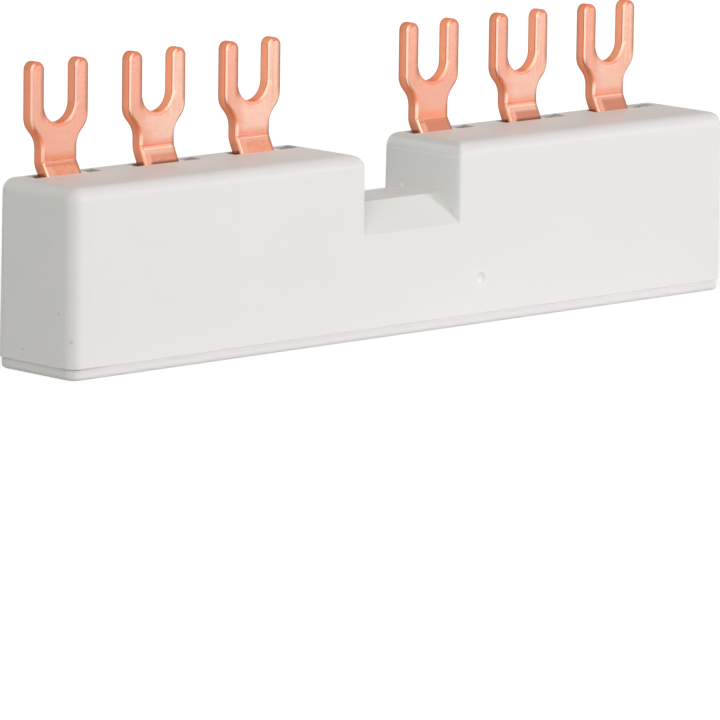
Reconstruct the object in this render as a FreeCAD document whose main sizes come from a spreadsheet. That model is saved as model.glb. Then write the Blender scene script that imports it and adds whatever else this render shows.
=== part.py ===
import FreeCAD, Part
import math
import os
import re
import Sketcher

# Motor starter busbar: a hollow plastic housing with a notch between two blocks, a base cover,
# three copper phase bars with two fork terminals each, and two insulating separators between them.
# X runs along the length, Y from the front to the back and Z up. The origin is the middle of the
# underside, and all sizes are in millimetres and degrees.

os.makedirs("parts", exist_ok=True)
doc = FreeCAD.newDocument("MotorStarterBusbar")

# Driving sizes

SIZES = [
    ("device_pitch", 54.0, "between the two motor starters"),
    ("phase_pitch", 13.7, "between the forks of one motor starter"),
    ("end_margin", 7.8, "outermost terminals to the ends of the housing"),
    ("notch_margin", 6.4, "innermost terminals to the notch"),
    ("front_room", 1.95, "inside, between the front wall and the copper"),
    ("rear_room", 1.65, "inside, between the copper and the back wall"),
    ("riser_height", 11.1, "top of the blocks above the top of the bars"),
    ("draft_angle", 0.45, "lean of each outer wall"),
    ("corner_radius", 1.4, "upright outer corners"),
    ("top_edge_radius", 1.35, "edges round the top of each block"),
    ("wall", 1.3, "side walls"),
    ("top_wall", 1.5, "wall with the windows"),
    ("bridge_room", 2.4, "inside, between the separators and the notch floor"),
    ("slope_height", 3.15, "slope from the front face up to the ridge of the notch"),
    ("ridge_setback", 2.65, "ridge behind the front face"),
    ("floor_depth", 4.85, "level floor from front to back"),
    ("floor_fall", 0.7, "fall of the floor to the back face"),
    ("floor_edge_radius", 1.0, "back edge of the notch floor"),
    ("notch_front_radius", 0.45, "front corners of the notch"),
    ("notch_back_radius", 1.15, "back corners of the notch"),
    ("block_spread", 0.6, "middle windows further apart than the motor starters"),
    ("window_spread", 0.35, "windows of one block further apart than its forks"),
    ("window_length", 9.3, "window along the housing"),
    ("window_depth", 1.9, "window from front to back"),
    ("window_margin", 1.6, "back edge of the windows to the back face"),
    ("mark_along", 10.3, "round mark right of the middle"),
    ("mark_height", 5.1, "round mark above the underside"),
    ("mark_radius", 0.7, "round mark"),
    ("mark_depth", 0.22, "round mark"),
    ("locating_rib", 1.2, "thickness of the ribs inside the long walls"),
    ("rib_clearance", 0.1, "between a rib and the copper"),
    ("cover_thickness", 1.25, "base cover under the rim"),
    ("cover_inset", 0.2, "cover inside the outline of the rim"),
    ("cover_corner_radius", 1.2, "upright corners of the cover"),
    ("cover_edge_radius", 0.5, "bottom edges of the cover"),
    ("seam_gap", 0.06, "height of the open seam under the rim"),
    ("seam_depth", 0.5, "depth of the open seam"),
    ("plinth_height", 1.0, "raised inside of the cover"),
    ("plinth_clearance", 0.15, "between the plinth and the walls"),
    ("copper_thickness", 1.4, "strip of the phase bars"),
    ("bar_height", 6.75, "phase bar on edge"),
    ("bar_spacing", 2.4, "between the planes of two phase bars"),
    ("stack_shift", -1.1, "bars and separators off the middle of the housing"),
    ("neck_width", 4.9, "fork neck and riser"),
    ("fork_width", 8.0, "fork over both prongs"),
    ("slot_width", 4.2, "fork slot for the terminal screw"),
    ("fork_height", 12.0, "prong tips above the block"),
    ("crotch_height", 5.35, "bottom of the slot above the block"),
    ("shoulder_height", 5.3, "full fork width above the block"),
    ("shoulder_drop", 1.7, "height of the sloping shoulder"),
    ("tip_flat", 0.15, "flat end of a prong between its round corners"),
    ("shoulder_radius", 2.1, "outer corner of the shoulder"),
    ("neck_radius", 2.3, "inner corner of the shoulder"),
    ("web_radius", 1.0, "inner corner between riser and bar"),
    ("entry_gap", 0.1, "between the front edge of a window and the riser"),
    ("fork_setback", 0.85, "forks behind the place where the risers come out"),
    ("crease_one", 1.35, "crease of the first phase above the block"),
    ("crease_two", 1.75, "crease of the second phase above the block"),
    ("crease_three", 1.65, "crease of the third phase above the block"),
    ("bend_one", 0.25, "inner bend radius of the first phase"),
    ("bend_two", 1.2, "inner bend radius of the second phase"),
    ("bend_three", 0.7, "inner bend radius of the third phase"),
    ("front_edge_radius", 0.4, "front edges of the copper, rolled in by the punch"),
    ("back_edge_radius", 0.15, "back edges of the copper"),
    ("stack_clearance", 0.05, "between a separator and the copper"),
    ("separator_rise", 1.2, "separator above the top of the bars"),
    ("separator_end_clearance", 0.1, "between a separator and the end wall"),
    ("guide_thickness", 1.0, "guide rib beside each riser"),
    ("guide_gap", 0.2, "between a guide rib and its riser"),
    ("guide_sink", 0.1, "guide rib below the top of the block"),
    ("guide_window_clearance", 0.1, "between a guide rib and the window"),
]

sheet = doc.addObject("Spreadsheet::Sheet", "Sizes")
SHEET_NAMES = {alias: "Sizes." + alias for alias, size, note in SIZES}
for row, (alias, size, note) in enumerate(SIZES, 1):
    sheet.set("A%d" % row, alias)
    sheet.set("B%d" % row, str(size))
    sheet.set("C%d" % row, note)
    sheet.setAlias("B%d" % row, alias)
doc.recompute()

# Sizes that follow from the driving ones. Heights are above the underside, and places in the depth
# are behind the middle plane.

FOLLOWING = {
    "bar_bottom": "( cover_thickness + plinth_height )",
    "bar_top": "( bar_bottom + bar_height )",
    "separator_top": "( bar_top + separator_rise )",
    "block_height": "( bar_top + riser_height )",
    "ceiling": "( block_height - top_wall )",
    "ridge_height": "( separator_top + bridge_room + wall + floor_fall )",
    "lip_height": "( ridge_height - slope_height )",
    "half_length": "( device_pitch / 2 + phase_pitch + end_margin )",
    "inner_half_length": "( half_length - wall )",
    "inner_half_depth": "( ( front_room + rear_room + copper_thickness ) / 2 + bar_spacing )",
    "half_depth": "( inner_half_depth + wall )",
    "notch_width": "( device_pitch - 2 * phase_pitch - 2 * notch_margin )",
    "window_back": "( half_depth - window_margin )",
    "window_front": "( window_back - window_depth )",
    "rear_bar_plane": "( inner_half_depth - rear_room - copper_thickness / 2 )",
    "entry_front": "( window_front + entry_gap )",
    "fork_front": "( entry_front + fork_setback )",
    "neck_top": "( block_height + shoulder_height - shoulder_drop )",
    "shoulder_top": "( block_height + shoulder_height )",
    "crotch_bottom": "( block_height + crotch_height )",
    "tip_top": "( block_height + fork_height )",
    "tip_radius": "( ( fork_width - slot_width ) / 4 - tip_flat / 2 )",
    "above_forks": "( tip_top + copper_thickness )",
    "above_block": "( block_height + top_wall )",
    "beyond_blank": "( half_depth + copper_thickness )",
    "separator_thickness": "( bar_spacing - copper_thickness - 2 * stack_clearance )",
}


def bound(text):
    """Expression text in the names of the sheet, with sizes that follow written out."""
    def in_sheet_names(word):
        name = word.group()
        return bound(FOLLOWING[name]) if name in FOLLOWING else SHEET_NAMES.get(name, name)
    return re.sub("[a-z_]+", in_sheet_names, text)


def value(text):
    return float(sheet.evalExpression(bound(text)))


# Helpers for sketches and features

def plane_of(body, role):
    for plane in body.Origin.OriginFeatures:
        if plane.Role == role:
            return plane


def new_body(label):
    body = doc.addObject("PartDesign::Body", label)
    body.Label = label
    return body


def new_sketch(body, name, role, offset="0"):
    sketch = body.newObject("Sketcher::SketchObject", name)
    sketch.AttachmentSupport = [(plane_of(body, role), "")]
    sketch.MapMode = "FlatFace"
    sketch.setExpression(".AttachmentOffset.Base.z", bound(offset))
    return sketch


def pin(sketch, geometry, point, across, up):
    """Hold one sketch point at two coordinates given as expressions."""
    for kind, axis, text in (("DistanceX", -2, across), ("DistanceY", -1, up)):
        length = value(text)
        if abs(length) < 1e-9:
            sketch.addConstraint(Sketcher.Constraint("PointOnObject", geometry, point, axis))
        elif length > 0:
            index = sketch.addConstraint(
                Sketcher.Constraint(kind, -1, 1, geometry, point, length))
            sketch.setExpression("Constraints[%d]" % index, bound(text))
        else:
            index = sketch.addConstraint(
                Sketcher.Constraint(kind, geometry, point, -1, 1, -length))
            sketch.setExpression("Constraints[%d]" % index, bound("0 - ( " + text + " )"))


def corner_arc(before, corner, after, radius):
    """Ends and centre of the arc that rounds one corner of an outline."""
    back = (before - corner).normalize()
    ahead = (after - corner).normalize()
    half_angle = back.getAngle(ahead) / 2
    reach = radius / math.tan(half_angle)
    middle = (back + ahead).normalize() * (radius / math.sin(half_angle))
    return corner + back * reach, corner + ahead * reach, corner + middle


def add_outline(sketch, corners):
    """Closed outline. A corner is two coordinates, and a radius where it is round."""
    points = [FreeCAD.Vector(value(corner[0]), value(corner[1]), 0) for corner in corners]
    count, base = len(points), sketch.GeometryCount
    starts, ends, arcs = list(points), list(points), {}
    for index, corner in enumerate(corners):
        if len(corner) > 2:
            arcs[index] = corner_arc(points[index - 1], points[index],
                                     points[(index + 1) % count], value(corner[2]))
            ends[index], starts[index] = arcs[index][:2]
    for index in range(count):
        sketch.addGeometry(Part.LineSegment(starts[index], ends[(index + 1) % count]))
    for index, corner in enumerate(corners):
        arriving, leaving = base + (index - 1) % count, base + index
        if index not in arcs:
            sketch.addConstraint(Sketcher.Constraint("Coincident", arriving, 2, leaving, 1))
            pin(sketch, leaving, 1, corner[0], corner[1])
            continue
        first, last, centre = arcs[index]
        turn = (first - centre).cross(last - centre).z
        low, high = (first, last) if turn > 0 else (last, first)
        low_angle = math.atan2(low.y - centre.y, low.x - centre.x)
        high_angle = math.atan2(high.y - centre.y, high.x - centre.x)
        circle = Part.Circle(centre, FreeCAD.Vector(0, 0, 1), (first - centre).Length)
        arc = sketch.addGeometry(Part.ArcOfCircle(circle, low_angle, high_angle))
        first_end, last_end = (1, 2) if turn > 0 else (2, 1)
        sketch.addConstraint(Sketcher.Constraint("Tangent", arriving, 2, arc, first_end))
        sketch.addConstraint(Sketcher.Constraint("Tangent", arc, last_end, leaving, 1))
        held = sketch.addConstraint(Sketcher.Constraint("Radius", arc, value(corner[2])))
        sketch.setExpression("Constraints[%d]" % held, bound(corner[2]))
        virtual = sketch.addGeometry(Part.Point(points[index]), True)
        pin(sketch, virtual, 1, corner[0], corner[1])
        sketch.addConstraint(Sketcher.Constraint("PointOnObject", virtual, 1, arriving))
        sketch.addConstraint(Sketcher.Constraint("PointOnObject", virtual, 1, leaving))


def polygon(body, name, role, corners, offset="0"):
    sketch = new_sketch(body, name, role, offset)
    add_outline(sketch, corners)
    return sketch


def box_corners(low, high):
    return [low, (high[0], low[1]), high, (low[0], high[1])]


def rectangle(body, name, role, low, high, offset="0"):
    return polygon(body, name, role, box_corners(low, high), offset)


def add_round_slot(sketch, middle, width, bottom, top):
    """Slot with a round bottom and a straight top."""
    base = sketch.GeometryCount
    radius = value(width) / 2
    centre = FreeCAD.Vector(value(middle), value(bottom) + radius, 0)
    left = FreeCAD.Vector(-radius, 0, 0)
    high = FreeCAD.Vector(0, value(top) - centre.y, 0)
    sketch.addGeometry(Part.LineSegment(centre + left, centre + left + high))
    sketch.addGeometry(Part.LineSegment(centre + left + high, centre - left + high))
    sketch.addGeometry(Part.LineSegment(centre - left + high, centre - left))
    circle = Part.Circle(centre, FreeCAD.Vector(0, 0, 1), radius)
    arc = sketch.addGeometry(Part.ArcOfCircle(circle, math.pi, 2 * math.pi))
    for first, second, second_end in ((base, base + 1, 1), (base + 1, base + 2, 1),
                                      (base + 2, arc, 2)):
        sketch.addConstraint(Sketcher.Constraint("Coincident", first, 2, second, second_end))
    sketch.addConstraint(Sketcher.Constraint("Coincident", arc, 1, base, 1))
    sketch.addConstraint(Sketcher.Constraint("Vertical", base))
    sketch.addConstraint(Sketcher.Constraint("Horizontal", arc, 1, arc, 3))
    sketch.addConstraint(Sketcher.Constraint("Horizontal", arc, 2, arc, 3))
    pin(sketch, base, 2, middle + " - " + width + " / 2", top)
    pin(sketch, base + 2, 1, middle + " + " + width + " / 2", top)
    pin(sketch, arc, 3, middle, bottom + " + " + width + " / 2")


def pad(body, name, sketch, length, both_ways=False):
    feature = body.newObject("PartDesign::Pad", name)
    feature.Profile = sketch
    feature.setExpression("Length", bound(length))
    feature.SideType = "Symmetric" if both_ways else "One side"
    doc.recompute()
    return feature


def pocket(body, name, sketch, length=None):
    """Cut a sketch both ways, by a length or right through where none is given."""
    before = body.Shape.Volume
    feature = body.newObject("PartDesign::Pocket", name)
    feature.Profile = sketch
    feature.SideType = "Symmetric"
    if length is None:
        feature.Type = "ThroughAll"
    else:
        feature.setExpression("Length", bound(length))
    doc.recompute()
    if not body.Shape.Volume < before:
        raise RuntimeError(name + " cuts nothing")
    return feature


def fillet(body, name, radius, wanted):
    """Round the edges of the body that the test picks out."""
    base = body.Tip
    names = ["Edge%d" % (index + 1) for index, edge in enumerate(base.Shape.Edges) if wanted(edge)]
    feature = body.newObject("PartDesign::Fillet", name)
    feature.Base = (base, names)
    feature.setExpression("Radius", bound(radius))
    doc.recompute()
    return feature


NEAR = 1e-4


def runs_along(edge, axis, slack=0.02):
    """True for a straight edge whose direction is close to one axis."""
    if len(edge.Vertexes) < 2:
        return False
    chord = edge.Vertexes[1].Point - edge.Vertexes[0].Point
    straight = edge.Length - chord.Length < NEAR
    return straight and abs(getattr(chord, axis)) > (1 - slack) * edge.Length


def at(edge, **wanted):
    """True where the middle of an edge has the wanted coordinates."""
    box = edge.BoundBox
    return all(abs(getattr(box.Center, axis) - place) < NEAR for axis, place in wanted.items())


# Places that several pieces share, as expressions

DEVICES = (-1, 1)
PHASES = (-1, 0, 1)
CREASES = {-1: "crease_one", 0: "crease_two", 1: "crease_three"}
BENDS = {-1: "bend_one", 0: "bend_two", 1: "bend_three"}


def face_at(height):
    """Distance of the front and back faces from the middle plane at one height."""
    return "( half_depth - ( %s - cover_thickness ) * tan(draft_angle) )" % height


def end_at(height):
    """Distance of the end faces from the middle at one height."""
    return "( half_length - ( %s - cover_thickness ) * tan(draft_angle) )" % height


def notch_side(height):
    """Distance of the notch walls from the middle at one height."""
    return "( notch_width / 2 + ( %s - ridge_height ) * tan(draft_angle) )" % height


def number(device, phase):
    """Forks and windows are numbered from the left, starting at one."""
    return 3 * (device > 0) + phase + 2


def fork_place(device, phase):
    """Place of a fork along the housing: device -1 or 1, phase -1, 0 or 1."""
    return "( stack_shift + %d * device_pitch / 2 + %d * phase_pitch )" % (device, phase)


def window_place(device, phase):
    return "( %d * ( device_pitch + block_spread ) / 2 + %s * ( phase_pitch + window_spread ) )" % (
        device, phase)


def bar_plane(phase):
    """Middle plane of a phase bar, which stands on edge inside the housing."""
    return "( rear_bar_plane - %d * bar_spacing )" % (1 - phase)


def lean(phase):
    """Run to the back for each millimetre up, in the bend of a riser."""
    return "( ( fork_front - entry_front ) / %s )" % CREASES[phase]


def separator_plane(phase):
    """Middle plane of the separator behind a phase bar."""
    return "( %s + bar_spacing / 2 )" % bar_plane(phase)


# Housing

def make_housing():
    body = new_body("housing")
    section = polygon(body, "section", "YZ_Plane",
                      [("0 - half_depth", "cover_thickness"), ("half_depth", "cover_thickness"),
                       (face_at("block_height"), "block_height"),
                       ("0 - " + face_at("block_height"), "block_height")])
    pad(body, "block", section, "2 * half_length", both_ways=True)
    for side, name in ((-1, "left_end"), (1, "right_end")):
        end = polygon(body, name, "XZ_Plane",
                      [("%d * half_length" % side, "cover_thickness"),
                       ("%d * %s" % (side, end_at("block_height")), "block_height"),
                       ("%d * ( half_length + wall )" % side, "block_height"),
                       ("%d * ( half_length + wall )" % side, "cover_thickness")])
        pocket(body, name + "_cut", end)
    fillet(body, "upright_corners", "corner_radius", lambda edge: runs_along(edge, "z"))

    gap = polygon(body, "gap", "XZ_Plane",
                  [("0 - " + notch_side("lip_height"), "lip_height"),
                   (notch_side("lip_height"), "lip_height"),
                   (notch_side("above_block"), "above_block"),
                   ("0 - " + notch_side("above_block"), "above_block")])
    pocket(body, "gap_cut", gap)

    top = value("block_height")
    fillet(body, "top_edges", "top_edge_radius", lambda edge: at(edge, z=top))

    def notch_corner(edge, side):
        inside = abs(edge.BoundBox.Center.x) < value("notch_width")
        return inside and runs_along(edge, "z") and side * edge.BoundBox.Center.y > 0

    fillet(body, "notch_front_corners", "notch_front_radius", lambda edge: notch_corner(edge, -1))
    fillet(body, "notch_back_corners", "notch_back_radius", lambda edge: notch_corner(edge, 1))

    fall = "( ridge_height - floor_fall )"
    ridge = "( ridge_setback - half_depth )"
    bridge = polygon(body, "bridge", "YZ_Plane",
                     [("0 - " + face_at("lip_height"), "lip_height"),
                      (ridge, "ridge_height"),
                      (ridge + " + floor_depth", "ridge_height"),
                      (face_at(fall), fall, "floor_edge_radius"),
                      (face_at("lip_height"), "lip_height"),
                      ("0", "lip_height - wall")])
    pad(body, "bridge_pad", bridge, "notch_width + 2 * wall", both_ways=True)

    steep = "( ( ridge_height - lip_height ) / ( %s + %s ) )" % (ridge, face_at("lip_height"))
    under = "( wall * sqrt(1 + %s ^ 2) )" % steep
    hollow_top = "( ridge_height - floor_fall - wall )"
    front_height = "lip_height + ( %s - inner_half_depth ) * %s - %s" % (
        face_at("lip_height"), steep, under)
    hollow = polygon(body, "hollow", "YZ_Plane",
                     [("0 - inner_half_depth", "cover_thickness"),
                      ("0 - inner_half_depth", front_height),
                      ("( %s + %s - lip_height ) / %s - %s" % (
                          hollow_top, under, steep, face_at("lip_height")), hollow_top),
                      ("inner_half_depth", hollow_top), ("inner_half_depth", "cover_thickness")])
    pocket(body, "hollow_cut", hollow, "2 * inner_half_length")
    for side, name in ((-1, "left_hollow"), (1, "right_hollow")):
        room = rectangle(body, name, "XZ_Plane",
                         ("%d * ( notch_width / 2 + wall )" % side, "cover_thickness"),
                         ("%d * inner_half_length" % side, "ceiling"))
        pocket(body, name + "_cut", room, "2 * inner_half_depth")

    for device in DEVICES:
        for phase in PHASES:
            name = "window_%d" % number(device, phase)
            flare = "( %s * top_wall )" % lean(phase)
            window = polygon(body, name, "YZ_Plane",
                             [("window_front", "above_block"),
                              ("window_front", "block_height"),
                              ("window_front - " + flare, "ceiling"),
                              ("window_back", "ceiling"),
                              ("window_back", "above_block")],
                             window_place(device, phase))
            pocket(body, name + "_cut", window, "window_length")

    rib_foot = "( bar_bottom + plinth_clearance )"
    in_wall = "( inner_half_depth + wall / 2 )"
    front_tip = "( %s - copper_thickness / 2 - rib_clearance )" % bar_plane(-1)
    rear_tip = "( %s + copper_thickness / 2 + rib_clearance )" % bar_plane(1)
    ribs = new_sketch(body, "locating_ribs", "XY_Plane", rib_foot)
    for device in DEVICES:
        for side in (-1, 1):
            place = window_place(device, side / 2)
            left, right = place + " - locating_rib / 2", place + " + locating_rib / 2"
            add_outline(ribs, box_corners((left, "0 - " + in_wall), (right, front_tip)))
            add_outline(ribs, box_corners((left, rear_tip), (right, in_wall)))
    pad(body, "locating_ribs_pad", ribs, "ceiling - " + rib_foot)

    mark = body.newObject("PartDesign::SubtractiveSphere", "round_mark")
    mark.AttachmentSupport = [(plane_of(body, "XY_Plane"), "")]
    mark.MapMode = "FlatFace"
    ball = "( ( mark_radius ^ 2 + mark_depth ^ 2 ) / ( 2 * mark_depth ) )"
    mark.setExpression("Radius", bound(ball))
    mark.setExpression(".AttachmentOffset.Base.x", bound("mark_along"))
    mark.setExpression(".AttachmentOffset.Base.y",
                       bound("mark_depth - %s - %s" % (ball, face_at("mark_height"))))
    mark.setExpression(".AttachmentOffset.Base.z", bound("mark_height"))
    doc.recompute()
    return body


# Base cover

def make_cover():
    body = new_body("base_cover")
    plate_length, plate_depth = "( half_length - cover_inset )", "( half_depth - cover_inset )"
    plate = rectangle(body, "plate", "XY_Plane", ("0 - " + plate_length, "0 - " + plate_depth),
                      (plate_length, plate_depth))
    pad(body, "plate_pad", plate, "cover_thickness - seam_gap")
    fillet(body, "upright_corners", "cover_corner_radius", lambda edge: runs_along(edge, "z"))
    fillet(body, "bottom_edges", "cover_edge_radius", lambda edge: at(edge, z=0))

    step_length, step_depth = plate_length + " - seam_depth", plate_depth + " - seam_depth"
    step = rectangle(body, "step", "XY_Plane",
                     ("0 - ( %s )" % step_length, "0 - ( %s )" % step_depth),
                     (step_length, step_depth), "cover_thickness - seam_gap")
    pad(body, "step_pad", step, "seam_gap")
    plinth_length = "inner_half_length - plinth_clearance"
    plinth_depth = "inner_half_depth - plinth_clearance"
    plinth = rectangle(body, "plinth", "XY_Plane",
                       ("0 - ( %s )" % plinth_length, "0 - ( %s )" % plinth_depth),
                       (plinth_length, plinth_depth), "cover_thickness")
    pad(body, "plinth_pad", plinth, "plinth_height")
    return body


# Phase bars, each a bent copper strip with the forks of one phase

def fork_side(device, phase, side):
    """Corners of one side of a fork, from the riser up to the prong tip."""
    middle = fork_place(device, phase)
    neck = "%s + %d * neck_width / 2" % (middle, side)
    outer = "%s + %d * fork_width / 2" % (middle, side)
    return [(neck, "neck_top", "neck_radius"), (outer, "shoulder_top", "shoulder_radius"),
            (outer, "tip_top")]


def riser_side(device, phase, side):
    return "%s + %d * neck_width / 2" % (fork_place(device, phase), side)


def bar_outline(phase):
    corners = [(riser_side(-1, phase, -1), "bar_bottom")]
    corners += fork_side(-1, phase, -1) + fork_side(-1, phase, 1)[::-1]
    corners += [(riser_side(-1, phase, 1), "bar_top", "web_radius"),
                (riser_side(1, phase, -1), "bar_top", "web_radius")]
    corners += fork_side(1, phase, -1) + fork_side(1, phase, 1)[::-1]
    return corners + [(riser_side(1, phase, 1), "bar_bottom")]


def front_profile(phase):
    """Line of the front face from the foot of the bar to above the prongs."""
    foot = "( %s - copper_thickness / 2 )" % bar_plane(phase)
    bend = "( block_height - ( entry_front - %s ) / %s )" % (foot, lean(phase))
    crease = "( block_height + %s )" % CREASES[phase]
    return [(foot, "0"), (foot, bend, BENDS[phase] + " + copper_thickness"),
            ("fork_front", crease, BENDS[phase]), ("fork_front", "above_forks")]


def rear_profile(phase):
    """Line of the back face, one copper thickness behind the front face."""
    drop = "( copper_thickness * ( sqrt(1 + %s ^ 2) - 1 ) / %s )" % (lean(phase), lean(phase))
    foot, bend, crease, top = front_profile(phase)
    return [(foot[0] + " + copper_thickness", foot[1]),
            (bend[0] + " + copper_thickness", bend[1] + " - " + drop, BENDS[phase]),
            (crease[0] + " + copper_thickness", crease[1] + " - " + drop,
             BENDS[phase] + " + copper_thickness"),
            (top[0] + " + copper_thickness", top[1])]


def rim_of_face(edge, shape, side):
    """True where a cut side meets the front face (side -1) or the back face (side 1) of the strip."""
    point = edge.valueAt((edge.FirstParameter + edge.LastParameter) / 2)
    faces = shape.ancestorsOfType(edge, Part.Face)
    normals = [face.normalAt(*face.Surface.parameter(point)) for face in faces]
    turned = abs(normals[0].dot(normals[1])) < math.cos(math.pi / 4)
    return turned and any(side * normal.y > math.cos(math.pi / 4) for normal in normals)


def make_bar(phase, label):
    body = new_body(label)
    outline = polygon(body, "outline", "XZ_Plane", bar_outline(phase))
    pad(body, "blank", outline, "2 * half_depth", both_ways=True)
    slots = new_sketch(body, "slots", "XZ_Plane")
    for device in DEVICES:
        add_round_slot(slots, fork_place(device, phase), "slot_width",
                       "crotch_bottom", "above_forks")
    pocket(body, "slots_cut", slots)
    tip = value("tip_top")
    fillet(body, "tips", "tip_radius", lambda edge: runs_along(edge, "y") and at(edge, z=tip))

    front = front_profile(phase) + [("0 - beyond_blank", "above_forks"), ("0 - beyond_blank", "0")]
    pocket(body, "front_cut", polygon(body, "front_side", "YZ_Plane", front))
    rear = rear_profile(phase) + [("beyond_blank", "above_forks"), ("beyond_blank", "0")]
    pocket(body, "rear_cut", polygon(body, "rear_side", "YZ_Plane", rear))
    for side, name in ((-1, "front"), (1, "back")):
        shape = body.Tip.Shape
        fillet(body, name + "_edges", name + "_edge_radius",
               lambda edge: not runs_along(edge, "y") and rim_of_face(edge, shape, side))
    return body


# Separators between the phase bars

def add_sheet(body, phase):
    half = "( inner_half_length - abs(stack_shift) - separator_end_clearance )"
    sheet_side = rectangle(body, "side", "XZ_Plane", ("stack_shift - " + half, "bar_bottom"),
                           ("stack_shift + " + half, "separator_top"),
                           "0 - " + separator_plane(phase))
    pad(body, "side_pad", sheet_side, "separator_thickness", both_ways=True)


def make_front_separator():
    body = new_body("front_separator")
    add_sheet(body, -1)
    return body


def make_rear_separator():
    """Sheet with a guide rib beside each riser, which reaches up into the window."""
    body = new_body("rear_separator")
    add_sheet(body, 0)
    front = "( %s - separator_thickness / 2 )" % separator_plane(0)
    back = "( %s + separator_thickness / 2 )" % separator_plane(0)
    under_ceiling = "ceiling - guide_window_clearance"
    head = "block_height - guide_sink"
    head_front = "window_front + guide_window_clearance"
    head_back = "window_back - guide_window_clearance"
    corners = [(front, "bar_top"), (front, under_ceiling), (head_front, under_ceiling),
               (head_front, head), (head_back, head), (head_back, "separator_top"),
               (back, "separator_top"), (back, "bar_top")]
    for device in DEVICES:
        for phase in PHASES:
            name = "guide_%d" % number(device, phase)
            place = "%s + neck_width / 2 + guide_gap + guide_thickness / 2" % (
                fork_place(device, phase))
            guide = polygon(body, name, "YZ_Plane", corners, place)
            pad(body, name + "_pad", guide, "guide_thickness", both_ways=True)
    return body


pieces = [make_housing(), make_cover()]
pieces += [make_bar(phase, "phase_bar_%d" % (phase + 2)) for phase in PHASES]
pieces += [make_front_separator(), make_rear_separator()]
for feature in doc.Objects:
    if "Invalid" in feature.State or "Error" in feature.State:
        raise RuntimeError(feature.Name + " is not built")
for piece in pieces:
    if piece.Shape.isNull() or not piece.Shape.isValid():
        raise RuntimeError(piece.Label + " has no valid shape")
    piece.Shape.exportStep("parts/" + piece.Label + ".step")
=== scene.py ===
import math

import bpy
from mathutils import Matrix, Vector

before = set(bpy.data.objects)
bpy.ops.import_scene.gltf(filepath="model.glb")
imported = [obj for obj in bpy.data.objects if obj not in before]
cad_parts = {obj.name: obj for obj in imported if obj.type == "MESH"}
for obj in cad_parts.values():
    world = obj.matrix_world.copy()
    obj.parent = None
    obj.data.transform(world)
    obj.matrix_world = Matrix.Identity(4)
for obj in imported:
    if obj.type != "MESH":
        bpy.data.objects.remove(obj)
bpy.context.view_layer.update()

MM = 0.001

# Camera, as the photograph was taken: it stands to the left of the front, a little above the object,
# and looks past it, so that the object lies right of and above the middle of the picture.
CAMERA_LEFT = math.radians(43.554)
CAMERA_HEIGHT = math.radians(9.747)
CAMERA_ROLL = math.radians(0.825)
CAMERA_DISTANCE = 794.813 * MM
MIDDLE = Vector((0, 0, 10.0 * MM))
OBJECT_RIGHT = 1.225 * MM
OBJECT_ABOVE = 13.454 * MM
SENSOR = 36.0
FOCAL_LENGTH = 367.64

# Lamps: direction to the lamp in degrees right of the front and above the floor, distance and size
# in metres, brightness in watts and colour.
LAMPS = {
    "key": (46, 10, 0.60, 0.16, 1.61, (0.98, 0.935, 1.0)),
    "front": (15, 12, 0.60, 0.36, 0.88, (0.985, 0.945, 1.0)),
    "fill": (-60, 35, 0.60, 0.36, 1.32, (0.98, 1.0, 0.975)),
    "over": (-35, 60, 0.60, 0.36, 0.72, (0.98, 1.0, 0.975)),
    "edge": (-92, 8, 0.60, 0.14, 0.08, (1.0, 1.0, 1.0)),
    "back": (172, 6, 0.60, 0.30, 0.70, (1.0, 1.0, 1.0)),
}

# World and floor. The floor's glow grows between two distances from the object, in metres.
AMBIENT = 0.12
BACKGROUND = 1.0
FLOOR_SIZE = 6.0
FLOOR_COLOUR = (0.80, 0.80, 0.80)
FLOOR_SHADE = (0.20, 0.20, 0.20)
GLOW_NEAR = 0.86
GLOW_REACH = (0.05, 0.20)

# Places on the object, in millimetres: across from its middle, deep from its middle towards the
# back, and up from the floor. A line, ring or spot fades over its reach.
SEAM_REACH = 0.16
UNDER_RIM = 0.1
UNDER_RIM_REACH = 0.2
CORNER_LINE = 2.36
CORNER_LINE_REACH = 0.09
TOP_LINE_BELOW_TOP = 1.55
TOP_LINE_REACH = 0.11
FLOW_SPOT = (6.9, 2.9, 14.55)
FLOW_SPOT_REACH = (0.8, 0.38, 0.38)
MARK = (10.38, 5.1)
MARK_RING = 0.98
MARK_RING_REACH = 0.25
GLINT_BELOW_MARK = 0.3
GLINT_REACH = (0.35, 0.3)
NOTCH_HALF = 7.2
NOTCH_FLOOR = 13.0
DEVICE_PITCH = 54.0
PHASE_PITCH = 13.7
STACK_SHIFT = -1.1
PHASES = (-1, 0, 1)
CREASES = (1.35, 1.75, 1.65)
SLOT_BOTTOM = 25.4
SHOULDER = 23.9
FORK_FRONT = 3.65
FORK_BACK = 5.05

# Bands of tone on the plastic: where each begins and where it is full, in millimetres
IN_NOTCH = (NOTCH_HALF + 0.2, NOTCH_HALF)
UP_IN_NOTCH = (NOTCH_FLOOR, NOTCH_FLOOR + 4.0)
ABOVE_NOTCH = (NOTCH_FLOOR + 3.0, NOTCH_FLOOR + 4.0)
ABOVE_TOP_LINE = 0.1
BELOW_TOP = (-0.01, -0.12)
FAR_RIGHT = (5.0, 45.0)
TOPS_ACROSS = (-45.0, -5.0)
DIRT_ACROSS = (-42.0, -46.0)
DIRT_DEEP = (-3.0, -5.5)
WINDOW_FRONT = (1.2, 1.5)
WINDOW_BACK = (4.85, 4.7)
LEFT_WINDOWS = (0.0, -7.0)

# Shaded stretches of the windows, from left to right, across a fork from its middle
WINDOW_LEFT_END = (-2.85, -2.0)
WINDOW_RIGHT_END = (3.6, 6.0)
WINDOW_FADE = 0.1

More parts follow.
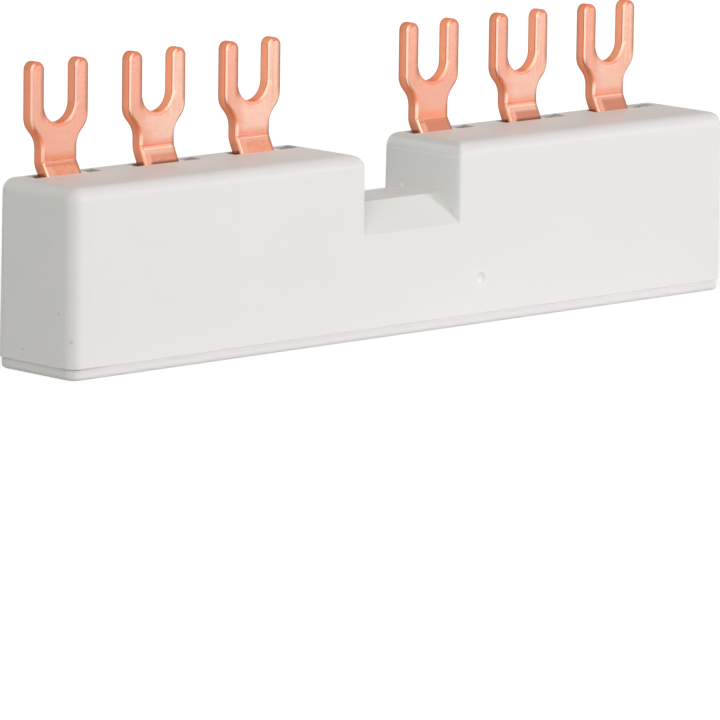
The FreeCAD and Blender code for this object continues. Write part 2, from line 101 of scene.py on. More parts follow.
# Bands of tone on the copper: across the busbar, and across a fork from its middle
LEFT_TO_RIGHT = (-40.0, 40.0)
OVER_MIDDLE = (-5.0, 5.0)
FIRST_FORK = (-36.0, -40.0)
PAST_FIRST_FORK = (-41.0, -35.0)
CLEAN_SKIN = (-2.8, -0.4)
RISER_EDGE = ((-2.15, -2.0), (-1.3, -1.5))
RIGHT_OF_SLOT = (0.0, 1.0)
RIGHT_IN_SLOT = (-1.0, 0.0)
RIGHT_PRONG_RIM = (3.15, 3.75)
LEFT_PRONG_RIM = ((-2.95, -2.35), (-1.9, -2.05))
RISER_RIM = (1.75, 2.2)
ENTRY_ACROSS = (-1.8, -1.4)

# Bands of tone on the copper: over the depth of the forks
SIDE_DEPTH = (FORK_BACK, FORK_BACK - 1.1)
SIDE_FRONT_EDGE = (FORK_FRONT + 0.6, FORK_FRONT + 0.3)
SIDE_BACK_EDGE = (FORK_BACK - 0.3, FORK_BACK - 0.05)
FOOT_DEPTH = (FORK_FRONT - 0.2, FORK_BACK - 0.6)

# Bands of painted shade on the copper: up from the top of the blocks, at the foot of the risers and
# where the second one enters its window
FOOT = (1.6, 0.1)
ENTRY = (0.4, 0.05)

# Bands of painted shade and light on the copper: up from the crease of a bend
SLOPE = (-0.05, -0.25)
LOW_SLOPE = (-0.3, -0.9)
OVER_CREASE = ((1.25, 0.2), (0.0, 0.12))
SECOND_CREASE_BAND = ((-0.95, -0.55), (0.1, -0.1))

# Painted light and shade along the crease of a bend: up from the crease, and how far each fades
CREASE_LINE = (-0.05, 0.14)
UNDER_FIRST_CREASE = (-0.32, 0.2)
THIRD_CREASE_BAND = (-0.25, 0.35)

# Bands of tone on the copper: up from the floor
STREAKED = (SLOT_BOTTOM - 1.5, SLOT_BOTTOM + 0.5)
PRONGS = (SLOT_BOTTOM - 1.6, SLOT_BOTTOM + 0.3)
PRONG_RIMS = (SLOT_BOTTOM, SLOT_BOTTOM + 1.6)
LOW_IN_SLOT = (SLOT_BOTTOM + 2.1, SLOT_BOTTOM + 0.5)
PRONG_SLOPES = (SLOT_BOTTOM + 0.8, SLOT_BOTTOM + 2.6)
OVER_SHOULDER = (SHOULDER, SHOULDER + 0.5)
CLEAR_OVER_SHOULDER = (SHOULDER + 1.0, SHOULDER + 1.8)
CLEAR_UNDER_SHOULDER = (SHOULDER - 0.3, SHOULDER - 1.0)
NECK = (SHOULDER, SHOULDER - 1.0)
RISER = (SHOULDER, SHOULDER - 1.5)

# Lengths of the patterns in the materials, in millimetres, one length or three
FLOW_CLOUDS = (26.0, 12.0, 12.0)
WAVES = 5.5
MATT_GRAIN = 0.14
PLASTIC_MOTTLE = 2.2
PATCHES = 3.0
STAINS = (5.0, 5.0, 3.4)
COPPER_MOTTLE = (1.6, 1.6, 1.0)
ROLLING = (4.0, 0.10, 0.10)
STREAKS = (0.22, 0.22, 7.0)
BLOTCHES = (0.8, 0.8, 0.45)
CUT_GRAIN = (0.5, 0.25, 0.8)
PORES = 0.22

# Specks: how far apart they lie, and the smallest and largest radius, in millimetres
DUST = (1.7, 0.12, 0.36)
COPPER_SPECKS = (1.5, 0.03, 0.13)

# Depths of the relief, in millimetres
WAVE_DEPTH = 0.012
MATT_GRAIN_DEPTH = 0.006
FLOW_SPOT_DEPTH = 0.06
CUT_GRAIN_DEPTH = 0.002
PORE_DEPTH = 0.0012

# Tones, as linear red, green and blue
PLASTIC_TONES = {
    "housing": (0.748, 0.732, 0.708),
    "housing_clouds": (0.730, 0.716, 0.692),
    "cover": (0.728, 0.714, 0.694),
    "cover_clouds": (0.710, 0.698, 0.678),
    "separator": (0.87, 0.87, 0.85),
    "separator_clouds": (0.84, 0.84, 0.82),
    "dust": (0.36, 0.34, 0.31),
    "dirt": (0.33, 0.25, 0.19),
    # Painted shade on the right part of the housing
    "far_right": (0.722, 0.712, 0.688),
    # Painted light on the notch walls and floor, and painted shade on the slope before it
    "notch": (0.80, 0.81, 0.80),
    "notch_slope": (0.686, 0.682, 0.652),
    # Painted pink light from the copper on the tops
    "left_top": (0.72, 0.65, 0.617),
    "right_top": (0.80, 0.733, 0.69),
    # Painted shade on the front rounding of the tops
    "rounding": (0.69, 0.665, 0.645),
    "corner_line": (0.45, 0.45, 0.44),
    "above_top_line": (0.80, 0.80, 0.785),
    "top_line": (0.95, 0.95, 0.94),
    "window_right_end": (0.42, 0.35, 0.30),
    "window_left_end": (0.05, 0.038, 0.03),
    # Painted light: a paler ring and a glint on the mark
    "mark_ring": (0.80, 0.79, 0.785),
    "mark_glint": (0.84, 0.84, 0.83),
    # Painted highlight on the raised spot
    "flow_spot": (0.97, 0.97, 0.96),
    # Painted light on the wall under the rim
    "under_rim": (0.82, 0.805, 0.785),
}

COPPER_TONES = {
    "ruddy_left": (0.725, 0.352, 0.256),
    "ruddy_right": (0.665, 0.328, 0.24),
    "clean_left": (0.78, 0.512, 0.408),
    "clean_right": (0.705, 0.437, 0.338),
    "rolling": (0.68, 0.29, 0.19),
    "streaks": (0.68, 0.30, 0.20),
    "specks": (0.40, 0.13, 0.07),
    # Painted shade on the slopes, with random blotches, and painted light along their left edges and
    # the creases
    "slope_left": (0.87, 0.36, 0.235),
    "slope_right": (0.67, 0.256, 0.162),
    "slope_second": (0.60, 0.235, 0.155),
    "slope_low": (0.60, 0.245, 0.16),
    "slope_blotches": (0.60, 0.21, 0.12),
    "slope_edge": (0.82, 0.40, 0.29),
    "over_crease": (0.69, 0.23, 0.13),
    "under_first_crease": (0.78, 0.245, 0.125),
    "second_crease_band": (0.82, 0.46, 0.345),
    "third_crease_band": (0.80, 0.41, 0.305),
    "crease": (0.66, 0.345, 0.26),
    "second_crease": (0.70, 0.46, 0.36),
    "side_back": (0.56, 0.21, 0.122),
    "side_front": (0.77, 0.285, 0.165),
    "side_front_edge": (0.76, 0.21, 0.09),
    "side_in_slot": (0.88, 0.34, 0.20),
    "side_first_fork": (0.61, 0.245, 0.147),
    "side_riser": (0.60, 0.215, 0.125),
    "side_grain": (0.52, 0.18, 0.10),
    # Painted shade along the back edge of the cut sides and at their foot
    "side_back_edge": (0.22, 0.10, 0.055),
    "side_foot": (0.26, 0.12, 0.07),
    # Painted highlight on the left edges, and painted reflection on the edges of the shoulders
    "painted_edge_highlight": (0.97, 0.68, 0.54),
    "painted_shoulder_reflection": (0.95, 0.34, 0.17),
    # Painted shade along the right edges
    "right_rim": (0.36, 0.16, 0.10),
    # Painted shade on the up-facing tips and slot bottoms
    "prong_slope": (0.60, 0.24, 0.15),
    # Painted shade where the second riser enters its window
    "entry": (0.16, 0.06, 0.035),
    "grazing": (0.90, 0.50, 0.36),
}


def edges_of(node):
    """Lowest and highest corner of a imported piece, in millimetres."""
    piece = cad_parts[node]
    corners = [piece.matrix_world @ Vector(corner) / MM for corner in piece.bound_box]
    return [[pick(corner[axis] for corner in corners) for axis in range(3)] for pick in (min, max)]


(LEFT_END, _, RIM), (_, _, TOP) = edges_of("housing")


# Node helpers

class Shader:
    """A material, short ways to add its nodes, and the tone that it has so far."""

    def __init__(self, name):
        self.material = bpy.data.materials.new(name)
        self.material.use_nodes = True
        self.tree = self.material.node_tree
        self.surface = self.tree.nodes["Principled BSDF"]
        self.place = self.tree.nodes.new("ShaderNodeTexCoord").outputs["Object"]
        normal = self.tree.nodes.new("ShaderNodeNewGeometry").outputs["Normal"]
        self.to_side, self.to_back, self.to_top = self.split(normal)
        self.across, self.deep, self.up = self.split(self.stretched(1.0, 1.0, 1.0))
        self.tone = None

    def put(self, socket, source):
        """Set a socket to a number or colour, or link it to another node."""
        if isinstance(source, bpy.types.NodeSocket):
            self.tree.links.new(source, socket)
        else:
            socket.default_value = source

    def set(self, **sockets):
        """Set the sockets of the surface itself."""
        for name, source in sockets.items():
            self.put(self.surface.inputs[name.replace("_", " ")], source)

    def split(self, vector):
        node = self.tree.nodes.new("ShaderNodeSeparateXYZ")
        self.put(node.inputs[0], vector)
        return node.outputs

    def stretched(self, along, across, up):
        """The place on the object, scaled to patterns of these lengths in millimetres."""
        node = self.tree.nodes.new("ShaderNodeMapping")
        self.put(node.inputs["Vector"], self.place)
        node.inputs["Scale"].default_value = [1 / (size * MM) for size in (along, across, up)]
        return node.outputs[0]

    def math(self, operation, first, second=0.0, third=0.0):
        node = self.tree.nodes.new("ShaderNodeMath")
        node.operation = operation
        for socket, source in zip(node.inputs, (first, second, third)):
            self.put(socket, source)
        return node.outputs[0]

    def product(self, *factors):
        result = factors[0]
        for factor in factors[1:]:
            result = self.math("MULTIPLY", result, factor)
        return result

    def ramp(self, source, low, high, to_low=0.0, to_high=1.0):
        """Smooth step of a value between two bounds, up or down."""
        node = self.tree.nodes.new("ShaderNodeMapRange")
        node.interpolation_type = "SMOOTHSTEP"
        for socket, number in zip(node.inputs, (source, low, high, to_low, to_high)):
            self.put(socket, number)
        return node.outputs[0]

    def without(self, mask, rest=0.0):
        """One where a mask is zero, falling to what is left where the mask is one."""
        return self.ramp(mask, 0.0, 1.0, 1.0, rest)

    def over_top(self, band):
        """Smooth step over a band of height, measured up from the top of the blocks."""
        return self.ramp(self.up, *[TOP + height for height in band])

    def near(self, source, place, width):
        """One where a coordinate is at a place, falling to zero a width away."""
        distance = self.math("ABSOLUTE", self.math("SUBTRACT", source, place))
        return self.ramp(distance, 0.0, width, 1.0, 0.0)

    def noise(self, size, detail=2.0, roughness=0.5):
        """Noise whose features are about this long, one length or three, in millimetres."""
        node = self.tree.nodes.new("ShaderNodeTexNoise")
        lengths = size if isinstance(size, tuple) else (size, size, size)
        self.put(node.inputs["Vector"], self.stretched(*lengths))
        node.inputs["Scale"].default_value = 1.0
        node.inputs["Detail"].default_value = detail
        node.inputs["Roughness"].default_value = roughness
        return node.outputs["Fac"]

    def specks(self, spacing, smallest, largest):
        """Scattered specks: one in their middle, zero between them."""
        node = self.tree.nodes.new("ShaderNodeTexVoronoi")
        self.put(node.inputs["Vector"], self.stretched(spacing, spacing, spacing))
        node.inputs["Scale"].default_value = 1.0
        distance = self.math("MULTIPLY", node.outputs["Distance"], spacing)
        random_size, random_strength, _ = self.split(node.outputs["Color"])
        size = self.ramp(random_size, 0.0, 1.0, smallest, largest)
        reach = self.math("DIVIDE", distance, size)
        return self.product(self.ramp(reach, 0.4, 1.0, 1.0, 0.0),
                            self.ramp(random_strength, 0.45, 0.75))

    def mix(self, factor, first, second):
        """Mix of two tones, each a colour or an output of another node."""
        node = self.tree.nodes.new("ShaderNodeMix")
        node.data_type = "RGBA"
        self.put(node.inputs["Factor"], factor)
        for name, source in (("A", first), ("B", second)):
            self.put(node.inputs[name], source if isinstance(source, bpy.types.NodeSocket)
                     else (*source, 1))
        return node.outputs["Result"]

    def lay(self, mask, tone):
        """Lay a tone over the one so far, where a mask says."""
        self.tone = self.mix(mask, self.tone, tone)

    def bump(self, height, depth, base=None):
        """Relief whose full height is a depth in millimetres."""
        node = self.tree.nodes.new("ShaderNodeBump")
        node.inputs["Distance"].default_value = depth * MM
        self.put(node.inputs["Height"], height)
        if base is not None:
            self.put(node.inputs["Normal"], base)
        return node.outputs[0]


def find_fork(shader):
    """Place across the nearest fork, from its middle, and a mask for each of the three phases."""
    device = shader.math("SIGN", shader.across)
    middle = shader.math("ADD", shader.math("MULTIPLY", device, DEVICE_PITCH / 2), STACK_SHIFT)
    from_middle = shader.math("SUBTRACT", shader.across, middle)
    beside = shader.math("WRAP", from_middle, PHASE_PITCH / 2, -PHASE_PITCH / 2)
    riser = shader.math("SUBTRACT", from_middle, beside)
    return beside, [shader.near(riser, phase * PHASE_PITCH, PHASE_PITCH / 2) for phase in PHASES]


# Plastic

def moulded_plastic(name, tone, clouds_tone, roughness):
    """Light grey moulded plastic: faint flow marks, fine matt grain and a few specks of dust."""
    shader = Shader(name)
    clouds = shader.noise(FLOW_CLOUDS, 3.0)
    shader.tone = shader.mix(shader.ramp(clouds, 0.3, 0.7), clouds_tone, tone)
    mottle = shader.noise(PLASTIC_MOTTLE, 4.0, 0.6)
    shader.lay(shader.ramp(mottle, 0.25, 0.8, 0.0, 0.18), clouds_tone)
    shader.lay(shader.product(shader.specks(*DUST), 0.32), PLASTIC_TONES["dust"])

    grain = shader.noise(MATT_GRAIN, 3.0, 0.6)
    waves = shader.bump(shader.noise(WAVES, 1.0), WAVE_DEPTH)
    shader.relief = shader.bump(grain, MATT_GRAIN_DEPTH, waves)
    shader.set(Roughness=shader.ramp(grain, 0.25, 0.75, roughness - 0.05, roughness + 0.06))
    shader.set(IOR=1.5, Specular_IOR_Level=0.2)
    return shader


def seam_dirt(shader):
    """Brown dirt in the seam under the housing, near the left front corner."""
    patches = shader.ramp(shader.noise(PATCHES, 3.0), 0.25, 0.6, 0.55, 1.0)
    fade = shader.product(shader.ramp(shader.across, *DIRT_ACROSS),
                          shader.ramp(shader.deep, *DIRT_DEEP, 0.15, 1.0))
    return shader.product(shader.near(shader.up, RIM, SEAM_REACH), fade, patches)


def notch_tones(shader, notch):
    """Painted light on walls and floor of the notch, paler higher up; painted shade on the slope
    before it.
    """
    pale = shader.product(notch, shader.ramp(shader.to_back, -0.5, -0.3),
                          shader.ramp(shader.to_back, 0.8, 0.5),
                          shader.ramp(shader.up, *UP_IN_NOTCH, 0.55, 0.9))
    shader.lay(pale, PLASTIC_TONES["notch"])
    slope = shader.product(notch, shader.ramp(shader.to_top, 0.1, 0.3),
                           shader.ramp(shader.to_back, -0.3, -0.5))
    shader.lay(slope, PLASTIC_TONES["notch_slope"])


def top_tones(shader):
    """Painted pink light from the copper on the tops of the two blocks, and painted shade on their
    front rounding.
    """
    warm = shader.mix(shader.ramp(shader.across, *TOPS_ACROSS), PLASTIC_TONES["left_top"],
                      PLASTIC_TONES["right_top"])
    shader.lay(shader.product(shader.ramp(shader.to_top, 0.9, 0.99), 0.6), warm)
    rounding = shader.product(shader.ramp(shader.to_top, 0.05, 0.4),
                              shader.ramp(shader.to_top, 0.98, 0.85),
                              shader.ramp(shader.to_back, -0.05, -0.3),
                              shader.ramp(shader.up, *ABOVE_NOTCH), 0.6)
    shader.lay(rounding, PLASTIC_TONES["rounding"])


def line_tones(shader, notch):
    """Faint line beside the left front corner, and a light line along the top of the notch walls."""
    uneven = shader.ramp(shader.noise(PATCHES, 2.0), 0.25, 0.6, 0.3, 1.0)
    corner_line = shader.near(shader.across, LEFT_END + CORNER_LINE, CORNER_LINE_REACH)
    on_front = shader.ramp(shader.to_back, -0.97, -0.99)
    shader.lay(shader.product(corner_line, on_front, uneven, 0.1), PLASTIC_TONES["corner_line"])

    line_height = TOP - TOP_LINE_BELOW_TOP
    on_end = shader.ramp(shader.math("ABSOLUTE", shader.to_side), 0.80, 0.95)
    on_wall = shader.product(on_end, notch, 0.5)
    above_line = shader.ramp(shader.up, line_height, line_height + ABOVE_TOP_LINE)
    shader.lay(shader.product(above_line, on_wall), PLASTIC_TONES["above_top_line"])
    top_line = shader.near(shader.up, line_height, TOP_LINE_REACH)
    shader.lay(shader.product(top_line, on_wall, uneven), PLASTIC_TONES["top_line"])


def window_wall(shader, beside, left, right):
    """Walls of the windows just below the top, between two places across a fork."""
    return shader.product(
        shader.ramp(beside, left, left + WINDOW_FADE), shader.ramp(beside, right + WINDOW_FADE, right),
        shader.over_top(BELOW_TOP), shader.ramp(shader.up, *ABOVE_NOTCH),
        shader.ramp(shader.deep, *WINDOW_FRONT), shader.ramp(shader.deep, *WINDOW_BACK))


def window_tones(shader):
    """Shade in the right ends of the windows, and darker in the left ends in the left block."""
    beside, _ = find_fork(shader)
    right_end = shader.product(window_wall(shader, beside, *WINDOW_RIGHT_END), 0.45)
    shader.lay(right_end, PLASTIC_TONES["window_right_end"])
    left_end = shader.product(window_wall(shader, beside, *WINDOW_LEFT_END),
                              shader.ramp(shader.across, *LEFT_WINDOWS), 0.6)
    shader.lay(left_end, PLASTIC_TONES["window_left_end"])


def mark_tones(shader):
    """Small round mark on the front, in painted light: its edge a little paler, and a painted glint
    below its middle.
    """
    across, up = [shader.math("SUBTRACT", *pair) for pair in
                  ((shader.across, MARK[0]), (shader.up, MARK[1]))]
    squares = [shader.math("MULTIPLY", part, part) for part in (across, up)]
    from_mark = shader.math("SQRT", shader.math("ADD", *squares))
    ring = shader.product(shader.near(from_mark, MARK_RING, MARK_RING_REACH),
                          shader.ramp(shader.to_back, -0.9, -0.97), 0.35)
    shader.lay(ring, PLASTIC_TONES["mark_ring"])
    glint = shader.product(shader.near(shader.across, MARK[0], GLINT_REACH[0]),
                           shader.near(shader.up, MARK[1] - GLINT_BELOW_MARK, GLINT_REACH[1]),
                           shader.ramp(shader.to_back, 0.0, -0.1))
    shader.lay(glint, PLASTIC_TONES["mark_glint"])


def flow_spot(shader):
    """Pale drop where the plastic met itself, on the right wall of the notch; the paleness is a
    painted highlight.
    """
    coordinates = (shader.across, shader.deep, shader.up)
    return shader.product(*[shader.near(coordinate, place, reach) for coordinate, place, reach
                            in zip(coordinates, FLOW_SPOT, FLOW_SPOT_REACH)])


def housing_plastic():
    """Plastic of the housing, with the tones of its notch, tops, lines, windows and mark."""
    shader = moulded_plastic("housing_plastic", PLASTIC_TONES["housing"],
                             PLASTIC_TONES["housing_clouds"], 0.5)
    # Painted shade: the right part of the housing a little darker, where the key lamp lights it most
    far_right = shader.ramp(shader.across, *FAR_RIGHT, 0.0, 0.8)
    shader.lay(far_right, PLASTIC_TONES["far_right"])
    notch = shader.ramp(shader.math("ABSOLUTE", shader.across), *IN_NOTCH)
    notch_tones(shader, notch)
    top_tones(shader)
    line_tones(shader, notch)
    shader.lay(shader.product(seam_dirt(shader), 0.55), PLASTIC_TONES["dirt"])
    window_tones(shader)
    mark_tones(shader)
    # Painted highlight on the drop, which the bump below raises
    spot = flow_spot(shader)
    shader.lay(spot, PLASTIC_TONES["flow_spot"])
    shader.set(Base_Color=shader.tone, Normal=shader.bump(spot, FLOW_SPOT_DEPTH, shader.relief))
    return shader.material


def cover_plastic():
    """Plastic of the cover: a shade darker; painted light in the seam under the rim, partly dirty."""
    shader = moulded_plastic("cover_plastic", PLASTIC_TONES["cover"],
                             PLASTIC_TONES["cover_clouds"], 0.52)
    # Painted light: the wall under the rim made paler, against the shade of the overhang
    under_rim = shader.near(shader.up, RIM - UNDER_RIM, UNDER_RIM_REACH)
    shader.lay(under_rim, PLASTIC_TONES["under_rim"])
    shader.lay(shader.product(seam_dirt(shader), 0.8), PLASTIC_TONES["dirt"])
    shader.set(Base_Color=shader.tone, Normal=shader.relief)
    return shader.material


def separator_plastic():
    """Paler plastic of the separators, whose ribs show in the windows."""
    shader = moulded_plastic("separator_plastic", PLASTIC_TONES["separator"],
                             PLASTIC_TONES["separator_clouds"], 0.5)
    shader.set(Base_Color=shader.tone, Normal=shader.relief)
    return shader.material


# Copper

def skin_tones(shader, beside, first):
    """Rolled faces of the copper: paler to the right of each fork, ruddier on the first strip."""
    stains = shader.ramp(shader.noise(STAINS, 4.0, 0.6), 0.3, 0.7, -0.35, 0.35)
    pale = shader.math("ADD", shader.ramp(beside, *CLEAN_SKIN), stains)
    pale = shader.product(pale, shader.without(first, 0.22))
    right = shader.ramp(shader.across, *LEFT_TO_RIGHT)
    ruddy = shader.mix(right, COPPER_TONES["ruddy_left"], COPPER_TONES["ruddy_right"])
    clean = shader.mix(right, COPPER_TONES["clean_left"], COPPER_TONES["clean_right"])
    shader.tone = shader.mix(shader.ramp(pale, 0.0, 1.0), ruddy, clean)
    mottle = shader.ramp(shader.noise(COPPER_MOTTLE, 4.0, 0.6), 0.3, 0.75, 0.0, 0.35)
    shader.lay(mottle, ruddy)
    rolling = shader.ramp(shader.noise(ROLLING, 3.0, 0.6), 0.3, 0.8, 0.0, 0.16)
    shader.lay(rolling, COPPER_TONES["rolling"])
    streaks = shader.ramp(shader.noise(STREAKS, 2.0, 0.5), 0.42, 0.75, 0.0, 0.6)
    streaked = shader.ramp(shader.up, *STREAKED)
    shader.lay(shader.product(streaks, streaked), COPPER_TONES["streaks"])
    shader.lay(shader.product(shader.specks(*COPPER_SPECKS), 0.5), COPPER_TONES["specks"])


def slope_tone(shader, beside, height, masks):
    """Slope of a riser below its crease, in painted shade: deeper on the second phase and on the
    right.
    """
    first, second, _ = masks
    right = shader.ramp(shader.across, *OVER_MIDDLE)
    tone = shader.mix(right, COPPER_TONES["slope_left"], COPPER_TONES["slope_right"])
    tone = shader.mix(shader.product(second, 0.45), tone, COPPER_TONES["slope_second"])
    # Painted shade: darker still low on the slope of the right-hand device, except on the first phase
    low = shader.product(right, shader.ramp(height, *LOW_SLOPE), shader.without(first))
    tone = shader.mix(low, tone, COPPER_TONES["slope_low"])
    blotches = shader.ramp(shader.noise(BLOTCHES, 3.0, 0.6), 0.35, 0.8, 0.0, 0.5)
    tone = shader.mix(blotches, tone, COPPER_TONES["slope_blotches"])
    # Painted highlight: a lighter strip along the left edge of the slope
    edge = shader.product(*[shader.ramp(beside, *band) for band in RISER_EDGE])
    return shader.mix(edge, tone, COPPER_TONES["slope_edge"])


def bend_tones(shader, beside, masks):
    """Painted shade over the bend above the block, a painted light line on it and a darker slope
    below.
    """
    first, second, third = masks
    crease = TOP
    for mask, height in zip(masks, CREASES):
        crease = shader.math("ADD", crease, shader.product(mask, height))
    height = shader.math("SUBTRACT", shader.up, crease)

    shader.lay(shader.ramp(height, *SLOPE), slope_tone(shader, beside, height, masks))
    over = shader.product(*[shader.ramp(height, *band) for band in OVER_CREASE],
                          shader.ramp(first, 0.0, 1.0, 0.62, 0.9))
    shader.lay(over, COPPER_TONES["over_crease"])
    # Painted shade just under the crease on the first phase, painted light under it on the second and
    # third
    under = shader.product(shader.near(height, *UNDER_FIRST_CREASE), first)
    shader.lay(under, COPPER_TONES["under_first_crease"])
    second_band = shader.product(*[shader.ramp(height, *band) for band in SECOND_CREASE_BAND], second)
    shader.lay(second_band, COPPER_TONES["second_crease_band"])
    third_band = shader.product(shader.near(height, *THIRD_CREASE_BAND), third)
    shader.lay(third_band, COPPER_TONES["third_crease_band"])
    line = shader.mix(second, COPPER_TONES["crease"], COPPER_TONES["second_crease"])
    shader.lay(shader.near(height, *CREASE_LINE), line)


def side_tone(shader, beside, on_prong, grain):
    """Cut sides of the strip: ruddier in front, with painted shade along the back edge and at the
    foot.
    """
    depth = shader.ramp(shader.deep, *SIDE_DEPTH)
    tone = shader.mix(depth, COPPER_TONES["side_back"], COPPER_TONES["side_front"])
    front_edge = shader.ramp(shader.deep, *SIDE_FRONT_EDGE, 0.0, 0.6)
    tone = shader.mix(front_edge, tone, COPPER_TONES["side_front_edge"])
    in_slot = shader.product(shader.ramp(beside, *RIGHT_OF_SLOT), on_prong, 0.6)
    tone = shader.mix(in_slot, tone, COPPER_TONES["side_in_slot"])
    first_fork = shader.ramp(shader.across, *FIRST_FORK, 0.0, 0.7)
    tone = shader.mix(first_fork, tone, COPPER_TONES["side_first_fork"])
    tone = shader.mix(on_prong, COPPER_TONES["side_riser"], tone)
    tone = shader.mix(shader.ramp(grain, 0.3, 0.8, 0.0, 0.3), tone, COPPER_TONES["side_grain"])
    # Painted shade along the back edge of the cut side
    back_edge = shader.ramp(shader.deep, *SIDE_BACK_EDGE, 0.0, 0.8)
    tone = shader.mix(back_edge, tone, COPPER_TONES["side_back_edge"])
    # Painted shade at the foot of the riser, deepest towards the back
    foot = shader.product(shader.over_top(FOOT), shader.ramp(shader.deep, *FOOT_DEPTH, 0.25, 0.8))
    return shader.mix(foot, tone, COPPER_TONES["side_foot"])


def find_left_edge(shader):
    """How far the surface turns along the rolled left front edges, a little more on the neck."""
    left_edge = shader.product(shader.math("MINIMUM", shader.to_side, 0.0), shader.to_back)
    return shader.math("ADD", left_edge, shader.ramp(shader.up, *NECK, 0.0, 0.09))


def edge_highlight_tones(shader, beside, left_edge):
    """Painted highlights on the left edges, a ruddy painted reflection on the shoulder, plain low in
    the slot.
    """
    off_shoulder = shader.math("MAXIMUM", shader.ramp(shader.up, *CLEAR_OVER_SHOULDER),
                               shader.ramp(shader.up, *CLEAR_UNDER_SHOULDER))
    # Painted reflection: a ruddy tone on the rolled edges of the shoulders
    on_shoulder = shader.product(shader.ramp(left_edge, 0.2, 0.35), shader.without(off_shoulder))
    shader.lay(on_shoulder, COPPER_TONES["painted_shoulder_reflection"])
    low_in_slot = shader.product(shader.ramp(beside, *RIGHT_IN_SLOT),
                                 shader.ramp(shader.up, *LOW_IN_SLOT),
                                 shader.ramp(shader.up, *OVER_SHOULDER))
    # Painted highlight along the rolled left edges, weaker on the first fork
    painted_edge_highlight = shader.product(shader.ramp(left_edge, 0.36, 0.47), off_shoulder,
                            shader.without(low_in_slot),
                            shader.ramp(shader.across, *PAST_FIRST_FORK, 0.5, 0.9))
    shader.lay(painted_edge_highlight, COPPER_TONES["painted_edge_highlight"])


def right_rim(shader, beside):
    """Narrow band of painted shade along the right edges of the prongs, the neck and the riser."""
    left_prong = shader.product(*[shader.ramp(beside, *band) for band in LEFT_PRONG_RIM])
    prongs = shader.math("MAXIMUM", shader.ramp(beside, *RIGHT_PRONG_RIM), left_prong)
    prongs = shader.product(prongs, shader.ramp(shader.up, *PRONG_RIMS))
    riser = shader.product(shader.ramp(beside, *RISER_RIM), shader.ramp(shader.up, *RISER))
    return shader.product(shader.math("MAXIMUM", prongs, riser),
                          shader.ramp(shader.to_side, -0.6, -0.3))


def copper_roughness(shader, pores, tilted, on_prong):
    """Smooth rolled faces, duller where they lean back a little and along the edges of the risers."""
    sideways = shader.math("ABSOLUTE", shader.to_side)
    facing = shader.math("ABSOLUTE", shader.to_back)
    low_edge = shader.product(shader.ramp(shader.product(sideways, facing), 0.1, 0.3),
                              shader.without(on_prong), 0.35)
    smooth = shader.ramp(pores, 0.2, 0.8, 0.15, 0.22)
    return shader.math("ADD", shader.math("ADD", smooth, shader.product(tilted, 0.68)), low_edge)


def stamped_copper():
    """Bare copper: rolling grain, faint stains, cut sides, painted edge highlights, rough bends in
    painted shade.
    """
    shader = Shader("copper")
    beside, masks = find_fork(shader)
    on_prong = shader.ramp(shader.up, *PRONGS)
    grain = shader.noise(CUT_GRAIN, 3.0, 0.6)
    first, second, _ = masks
    skin_tones(shader, beside, first)
    bend_tones(shader, beside, masks)
    cut_side = shader.ramp(shader.math("ABSOLUTE", shader.to_back), 0.62, 0.30)
    shader.lay(cut_side, side_tone(shader, beside, on_prong, grain))

    left_edge = find_left_edge(shader)
    # Painted highlights on the left edges, and painted reflection on the shoulders
    edge_highlight_tones(shader, beside, left_edge)
    # Painted shade along the right edges
    shader.lay(shader.product(right_rim(shader, beside), 0.85), COPPER_TONES["right_rim"])
    front = shader.ramp(shader.to_back, -0.2, -0.5)
    off_edge = shader.without(shader.product(shader.ramp(left_edge, 0.12, 0.25), on_prong), 0.45)
    # Painted shade on the up-facing rounding of the tips and slot bottoms, stronger up the prongs,
    # less on the left edges
    upward = shader.product(shader.ramp(shader.to_top, 0.04, 0.2), front, on_prong,
                            shader.ramp(shader.up, *PRONG_SLOPES, 0.3, 0.9), off_edge)
    shader.lay(upward, COPPER_TONES["prong_slope"])
    # Painted shade where the second riser goes into its window
    entry = shader.product(shader.over_top(ENTRY), second, shader.ramp(beside, *ENTRY_ACROSS), 0.85)
    shader.lay(entry, COPPER_TONES["entry"])

    off_slope = shader.math("MAXIMUM", shader.ramp(shader.to_top, 0.42, 0.34), on_prong)
    tilted = shader.product(shader.ramp(shader.to_top, 0.002, 0.02), off_slope, front, off_edge)
    pores = shader.noise(PORES, 3.0, 0.65)
    relief = shader.bump(pores, PORE_DEPTH, shader.bump(grain, CUT_GRAIN_DEPTH))
    shader.set(Base_Color=shader.tone, Normal=relief, Metallic=1.0,
               Roughness=copper_roughness(shader, pores, tilted, on_prong),
               Specular_Tint=(*COPPER_TONES["grazing"], 1))
    return shader.material


def dress(material, *nodes):
    """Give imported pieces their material."""
    for node in nodes:
        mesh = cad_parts[node].data
        mesh.materials.clear()
        mesh.materials.append(material)


# Floor, background, lamps and camera

def seen(tree):
    """One where the camera, a reflection or glass looks at a surface, and zero for its light."""
    path = tree.nodes.new("ShaderNodeLightPath")
    looked_at = path.outputs["Is Camera Ray"]
    for kind in ("Is Glossy Ray", "Is Transmission Ray"):
        either = tree.nodes.new("ShaderNodeMath")
        either.operation = "MAXIMUM"
        tree.links.new(looked_at, either.inputs[0])
        tree.links.new(path.outputs[kind], either.inputs[1])
        looked_at = either.outputs[0]
    return looked_at


def mixed(tree, factor, first, second):
    mixer = tree.nodes.new("ShaderNodeMixShader")
    for socket, source in zip(mixer.inputs, (factor, first, second)):
        tree.links.new(source, socket)
    return mixer.outputs[0]


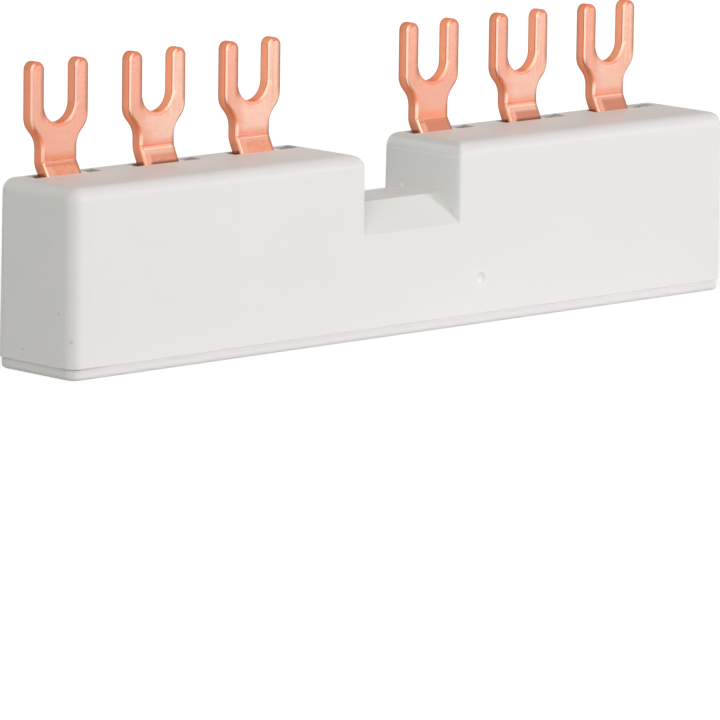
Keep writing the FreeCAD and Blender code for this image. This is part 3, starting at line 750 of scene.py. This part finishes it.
def make_floor():
    """Pale floor that is seen white, a little less so near the object, where its shadow lies."""
    bpy.ops.mesh.primitive_plane_add(size=FLOOR_SIZE, location=(0, 0, 0))
    floor = bpy.context.object
    floor.name = "floor"
    shader = Shader("floor")
    shader.set(Base_Color=(*FLOOR_COLOUR, 1), Roughness=0.9, Specular_IOR_Level=0.0)
    tree = shader.tree
    shade = tree.nodes.new("ShaderNodeBsdfDiffuse")
    shade.inputs["Color"].default_value = (*FLOOR_SHADE, 1)
    distance = tree.nodes.new("ShaderNodeVectorMath")
    distance.operation = "LENGTH"
    tree.links.new(shader.place, distance.inputs[0])
    glow = tree.nodes.new("ShaderNodeEmission")
    strength = shader.ramp(distance.outputs["Value"], *GLOW_REACH, GLOW_NEAR, BACKGROUND)
    tree.links.new(strength, glow.inputs["Strength"])
    lit = tree.nodes.new("ShaderNodeAddShader")
    tree.links.new(glow.outputs[0], lit.inputs[0])
    tree.links.new(shade.outputs[0], lit.inputs[1])
    tree.links.new(mixed(tree, seen(tree), shader.surface.outputs[0], lit.outputs[0]),
                   tree.nodes["Material Output"].inputs["Surface"])
    floor.data.materials.append(shader.material)


def make_world():
    """Weak even light, with a background that is seen white."""
    world = bpy.data.worlds.new("studio")
    bpy.context.scene.world = world
    world.use_nodes = True
    tree = world.node_tree
    ambient = tree.nodes["Background"]
    white = tree.nodes.new("ShaderNodeBackground")
    for light, strength in ((ambient, AMBIENT), (white, BACKGROUND)):
        light.inputs["Color"].default_value = (1, 1, 1, 1)
        light.inputs["Strength"].default_value = strength
    tree.links.new(mixed(tree, seen(tree), ambient.outputs[0], white.outputs[0]),
                   tree.nodes["World Output"].inputs["Surface"])


def direction(right_of_front, above_floor):
    """Unit vector from the object, for two angles in radians."""
    return Vector((math.sin(right_of_front) * math.cos(above_floor),
                   -math.cos(right_of_front) * math.cos(above_floor), math.sin(above_floor)))


def make_lamps():
    """Round area lamps, all turned towards the middle of the object."""
    for name, (right, above, distance, size, watts, colour) in LAMPS.items():
        lamp = bpy.data.lights.new(name, "AREA")
        lamp.shape = "DISK"
        lamp.size = size
        lamp.energy = watts
        lamp.color = colour
        holder = bpy.data.objects.new(name, lamp)
        bpy.context.collection.objects.link(holder)
        towards = direction(math.radians(right), math.radians(above))
        holder.location = MIDDLE + towards * distance
        holder.rotation_euler = towards.to_track_quat("Z", "Y").to_euler()


def make_camera():
    """Camera of the photograph, placed from its angles, its distance and where the object appears."""
    back = direction(-CAMERA_LEFT, CAMERA_HEIGHT)
    right = Vector((math.cos(CAMERA_LEFT), -math.sin(CAMERA_LEFT), 0))
    up = back.cross(right)
    camera = bpy.data.objects.new("camera", bpy.data.cameras.new("camera"))
    bpy.context.collection.objects.link(camera)
    camera.data.sensor_width = SENSOR
    camera.data.lens = FOCAL_LENGTH
    turn = Matrix((right, up, back)).transposed() @ Matrix.Rotation(CAMERA_ROLL, 3, "Z")
    place = MIDDLE - right * OBJECT_RIGHT - up * OBJECT_ABOVE + back * CAMERA_DISTANCE
    camera.matrix_world = Matrix.Translation(place) @ turn.to_4x4()
    bpy.context.scene.camera = camera


dress(housing_plastic(), "housing")
dress(cover_plastic(), "base_cover")
dress(stamped_copper(), "phase_bar_1", "phase_bar_2", "phase_bar_3")
dress(separator_plastic(), "front_separator", "rear_separator")
make_floor()
make_world()
make_lamps()
make_camera()
bpy.context.scene.view_settings.view_transform = "Standard"
